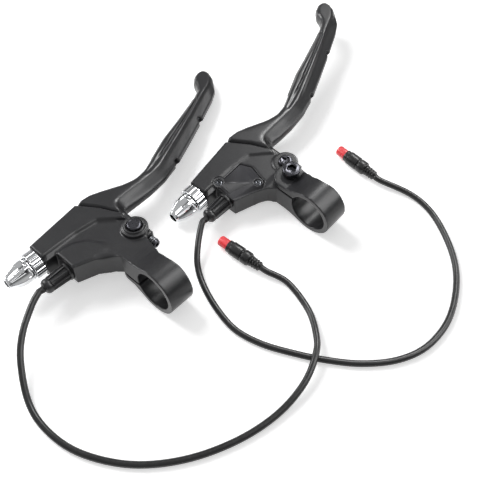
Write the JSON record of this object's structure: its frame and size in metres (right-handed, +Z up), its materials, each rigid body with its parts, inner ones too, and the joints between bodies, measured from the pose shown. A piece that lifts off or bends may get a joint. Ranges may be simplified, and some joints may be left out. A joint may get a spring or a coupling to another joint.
{
  "type": "bicycle brake lever pair",
  "caption": "Pair of flat-bar cable brake levers with barrel adjusters and cut-off switch cords ending in round connectors, lying side by side, one top face up and one underside up.",
  "frame": {"origin": "centre of the pair on the surface that it lies on, cords and connectors left out", "axes": "+Z up from the surface, +Y away from the viewer of the picture, +X to the right"},
  "size_m": [0.2368, 0.2989, 0.0291],
  "materials": {
    "housing": "satin black paint on cast aluminium",
    "blade": "satin black paint on forged aluminium",
    "cover": "matte black moulded plate",
    "black_steel": "black oxide steel",
    "plated_steel": "zinc plated steel",
    "spring_steel": "spring wire",
    "chrome": "bright chrome plate",
    "bronze": "sintered bronze",
    "grip": "textured black rubber",
    "black_plastic": "matte black plastic",
    "white_plastic": "natural acetal",
    "rubber": "soft black rubber",
    "cord": "satin black cord jacket",
    "plug_rubber": "moulded black plug",
    "red_plastic": "coral red connector insert",
    "brass_pins": "plated contact pins"
  },
  "bodies": {
    "base": {"left_housing": "housing", "left_clamp_bolt": "black_steel", "left_pivot_pin": "black_steel", "left_pivot_screw": "black_steel", "left_return_spring": "spring_steel", "left_adjust_spring": "spring_steel", "left_switch_module": "black_plastic", "left_plunger_spring": "spring_steel", "left_switch_cover": "cover", "left_cover_screws": "plated_steel", "left_gland_nut": "black_plastic", "left_gland_seal": "rubber", "left_cord": "cord", "left_plug_body": "plug_rubber", "left_plug_collar": "black_plastic", "left_plug_insert": "red_plastic", "left_plug_contacts": "brass_pins", "right_housing": "housing", "right_clamp_bolt": "black_steel", "right_pivot_pin": "black_steel", "right_pivot_screw": "black_steel", "right_return_spring": "spring_steel", "right_adjust_spring": "spring_steel", "right_switch_module": "black_plastic", "right_plunger_spring": "spring_steel", "right_switch_cover": "cover", "right_cover_screws": "plated_steel", "right_gland_nut": "black_plastic", "right_gland_seal": "rubber", "right_cord": "cord", "right_plug_body": "plug_rubber", "right_plug_collar": "black_plastic", "right_plug_insert": "red_plastic", "right_plug_contacts": "brass_pins"},
    "left_blade_body": {"left_blade": "blade", "left_grip_inlay": "grip", "left_inlay_screws": "plated_steel", "left_pivot_bush": "bronze"},
    "left_plunger_body": {"left_switch_plunger": "white_plastic"},
    "left_barrel_body": {"left_barrel_adjuster": "chrome"},
    "left_nut_body": {"left_lock_nut": "chrome"},
    "left_adjust_body": {"left_adjust_screw": "black_steel", "left_adjust_washer": "plated_steel"},
    "right_blade_body": {"right_blade": "blade", "right_grip_inlay": "grip", "right_inlay_screws": "plated_steel", "right_pivot_bush": "bronze"},
    "right_plunger_body": {"right_switch_plunger": "white_plastic"},
    "right_barrel_body": {"right_barrel_adjuster": "chrome"},
    "right_nut_body": {"right_lock_nut": "chrome"},
    "right_adjust_body": {"right_adjust_screw": "black_steel", "right_adjust_washer": "plated_steel"}
  },
  "joints": [
    {"name": "left_blade_pull", "type": "hinge", "parent": "base", "child": "left_blade_body", "pos_m": [-0.02578, -0.06909, 0.01615], "axis": [0.0351, -0.0964, -0.9947], "range_deg": [0, 14], "stiffness_Nm_per_rad": 0.6, "springref_deg": -14.32},
    {"name": "left_plunger_slide", "type": "slide", "parent": "base", "child": "left_plunger_body", "axis": [0.6853, 0.7268, -0.0462], "range_m": [0, 0.0015]},
    {"name": "left_barrel_turn", "type": "hinge", "parent": "base", "child": "left_barrel_body", "pos_m": [-0.07935, -0.08888, 0.01617], "axis": [0.6853, 0.7268, -0.0462], "continuous": true},
    {"name": "left_lock_nut_turn", "type": "hinge", "parent": "base", "child": "left_nut_body", "pos_m": [-0.07517, -0.08445, 0.01589], "axis": [0.6853, 0.7268, -0.0462], "continuous": true},
    {"name": "left_adjust_screw_turn", "type": "hinge", "parent": "base", "child": "left_adjust_body", "pos_m": [-0.01821, -0.0718, 0.01668], "axis": [-0.7274, 0.6801, -0.0916], "continuous": true},
    {"name": "right_blade_pull", "type": "hinge", "parent": "base", "child": "right_blade_body", "pos_m": [0.05432, -0.02025, 0.01052], "axis": [0.0348, 0.0443, -0.9984], "range_deg": [0, 24], "stiffness_Nm_per_rad": 0.6, "springref_deg": -14.32},
    {"name": "right_plunger_slide", "type": "slide", "parent": "base", "child": "right_plunger_body", "axis": [0.6729, 0.7376, 0.0562], "range_m": [0, 0.0015]},
    {"name": "right_barrel_turn", "type": "hinge", "parent": "base", "child": "right_barrel_body", "pos_m": [0.00109, -0.04077, 0.00775], "axis": [0.6729, 0.7376, 0.0562], "continuous": true},
    {"name": "right_lock_nut_turn", "type": "hinge", "parent": "base", "child": "right_nut_body", "pos_m": [0.0052, -0.03627, 0.00809], "axis": [0.6729, 0.7376, 0.0562], "continuous": true},
    {"name": "right_adjust_screw_turn", "type": "hinge", "parent": "base", "child": "right_adjust_body", "pos_m": [0.06194, -0.02288, 0.01066], "axis": [-0.739, 0.6737, 0.0042], "continuous": true}
  ],
  "couplings": [
    {"joint": "left_plunger_slide", "follows": "left_blade_pull", "m_per_rad": 0.003577},
    {"joint": "right_plunger_slide", "follows": "right_blade_pull", "m_per_rad": 0.003577}
  ]
}
